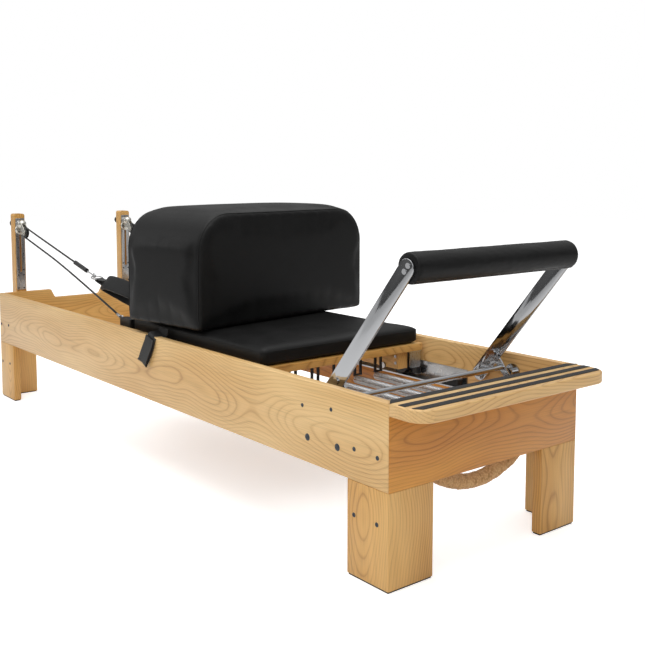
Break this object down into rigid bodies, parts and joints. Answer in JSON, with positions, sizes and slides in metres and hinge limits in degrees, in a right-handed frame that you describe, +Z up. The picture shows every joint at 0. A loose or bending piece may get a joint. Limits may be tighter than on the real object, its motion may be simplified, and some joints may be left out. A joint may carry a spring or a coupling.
{
  "type": "pilates reformer",
  "caption": "Wooden reformer bench: a padded carriage on rollers and springs, a padded foot bar, roped hand loops over pulleys, and a loose padded box on the carriage.",
  "frame": {"origin": "middle of the base of the bounding box, on the floor", "axes": "+X from the riser end to the foot bar end, +Y to the far side, +Z up"},
  "size_m": [2.546, 0.7712, 0.8146],
  "materials": {
    "pale_wood": "clear satin lacquer on pale maple",
    "warm_wood": "clear satin lacquer on warmer maple",
    "black_vinyl": "black grained upholstery vinyl",
    "chrome": "polished chrome plate",
    "zinc_steel": "zinc-plated steel",
    "black_metal": "black powder coat",
    "spring_wire": "nickel-plated spring wire",
    "cast_zinc": "plated cast swivel",
    "black_plastic": "moulded black plastic",
    "black_rubber": "ribbed and plain black rubber",
    "rope": "braided black cord",
    "webbing": "woven black webbing",
    "sheepskin": "beige-brown sheepskin sleeve"
  },
  "bodies": {
    "frame": {"far_pulley_fork": "cast_zinc", "far_rail": "pale_wood", "far_riser_post": "pale_wood", "far_rope": "rope", "fleece_strap": "sheepskin", "fleece_tails": "webbing", "foot_board": "warm_wood", "foot_far_leg": "pale_wood", "foot_near_leg": "pale_wood", "footbar_pivots": "chrome", "frame_screws": "zinc_steel", "grip_strips": "black_rubber", "head_board": "pale_wood", "head_far_leg": "pale_wood", "head_near_leg": "pale_wood", "ledgers": "pale_wood", "leg_pads": "black_rubber", "near_pulley_fork": "cast_zinc", "near_rail": "pale_wood", "near_riser_post": "pale_wood", "near_rope": "rope", "prop_rests": "chrome", "riser_knobs": "black_plastic", "riser_plates": "zinc_steel", "spring_bar": "zinc_steel", "springs": "spring_wire", "standing_platform": "pale_wood", "track_stops": "black_rubber", "tracks": "zinc_steel"},
    "carriage": {"carriage_deck": "pale_wood", "carriage_pad": "black_vinyl", "runners": "pale_wood", "wheel_axles": "zinc_steel", "guide_brackets": "zinc_steel", "guide_rollers": "black_plastic", "spring_hangers": "black_metal", "rope_cleats": "black_plastic", "shoulder_pads": "black_vinyl", "shoulder_posts": "black_metal", "loop_hardware": "zinc_steel", "loop_webbings": "webbing", "near_hand_loop": "black_vinyl", "far_hand_loop": "black_vinyl", "rope_sleeves": "black_plastic"},
    "headrest": {"headrest_board": "pale_wood", "headrest_pad": "black_vinyl", "headrest_hinge": "zinc_steel"},
    "near_foot_wheel": {"near_foot_wheel": "black_plastic"},
    "far_foot_wheel": {"far_foot_wheel": "black_plastic"},
    "near_head_wheel": {"near_head_wheel": "black_plastic"},
    "far_head_wheel": {"far_head_wheel": "black_plastic"},
    "near_sheave": {"near_sheave": "black_plastic"},
    "far_sheave": {"far_sheave": "black_plastic"},
    "footbar": {"near_arm": "chrome", "far_arm": "chrome", "footbar_tube": "chrome", "footbar_pad": "black_vinyl"},
    "prop": {"prop_frame": "chrome"},
    "box": {"sitting_box": "black_vinyl", "box_strap": "webbing"}
  },
  "joints": [
    {"name": "carriage_slide", "type": "slide", "parent": "frame", "child": "carriage", "axis": [1, 0, 0], "range_m": [-0.42, 0.08], "stiffness_N_per_m": 600, "deforming": ["springs", "near_rope", "far_rope"]},
    {"name": "footbar_pivot", "type": "hinge", "parent": "frame", "child": "footbar", "pos_m": [0.882, -0.03, 0.365], "axis": [0, 1, 0], "range_deg": [-45, 30]},
    {"name": "prop_hinge", "type": "hinge", "parent": "footbar", "child": "prop", "pos_m": [0.93578, -0.03, 0.43082], "axis": [0, 1, 0], "range_deg": [0, 35]},
    {"name": "headrest_tilt", "type": "hinge", "parent": "carriage", "child": "headrest", "pos_m": [-0.231, -0.03, 0.388], "axis": [0, 1, 0], "range_deg": [0, 20]},
    {"name": "box_lift", "type": "slide", "parent": "carriage", "child": "box", "axis": [0, 0, 1], "range_m": [0, 0.35]},
    {"name": "near_sheave_spin", "type": "hinge", "parent": "frame", "child": "near_sheave", "pos_m": [-1.13, -0.271, 0.68], "axis": [0, 1, 0], "continuous": true},
    {"name": "far_sheave_spin", "type": "hinge", "parent": "frame", "child": "far_sheave", "pos_m": [-1.13, 0.211, 0.68], "axis": [0, 1, 0], "continuous": true},
    {"name": "near_foot_wheel_roll", "type": "hinge", "parent": "carriage", "child": "near_foot_wheel", "pos_m": [0.566, -0.315, 0.345], "axis": [0, 1, 0], "continuous": true},
    {"name": "far_foot_wheel_roll", "type": "hinge", "parent": "carriage", "child": "far_foot_wheel", "pos_m": [0.566, 0.255, 0.345], "axis": [0, 1, 0], "continuous": true},
    {"name": "near_head_wheel_roll", "type": "hinge", "parent": "carriage", "child": "near_head_wheel", "pos_m": [-0.04, -0.315, 0.345], "axis": [0, 1, 0], "continuous": true},
    {"name": "far_head_wheel_roll", "type": "hinge", "parent": "carriage", "child": "far_head_wheel", "pos_m": [-0.04, 0.255, 0.345], "axis": [0, 1, 0], "continuous": true}
  ],
  "couplings": [
    {"joint": "near_foot_wheel_roll", "follows": "carriage_slide", "rad_per_m": 28.818},
    {"joint": "far_foot_wheel_roll", "follows": "carriage_slide", "rad_per_m": 28.818},
    {"joint": "near_head_wheel_roll", "follows": "carriage_slide", "rad_per_m": 28.818},
    {"joint": "far_head_wheel_roll", "follows": "carriage_slide", "rad_per_m": 28.818}
  ]
}
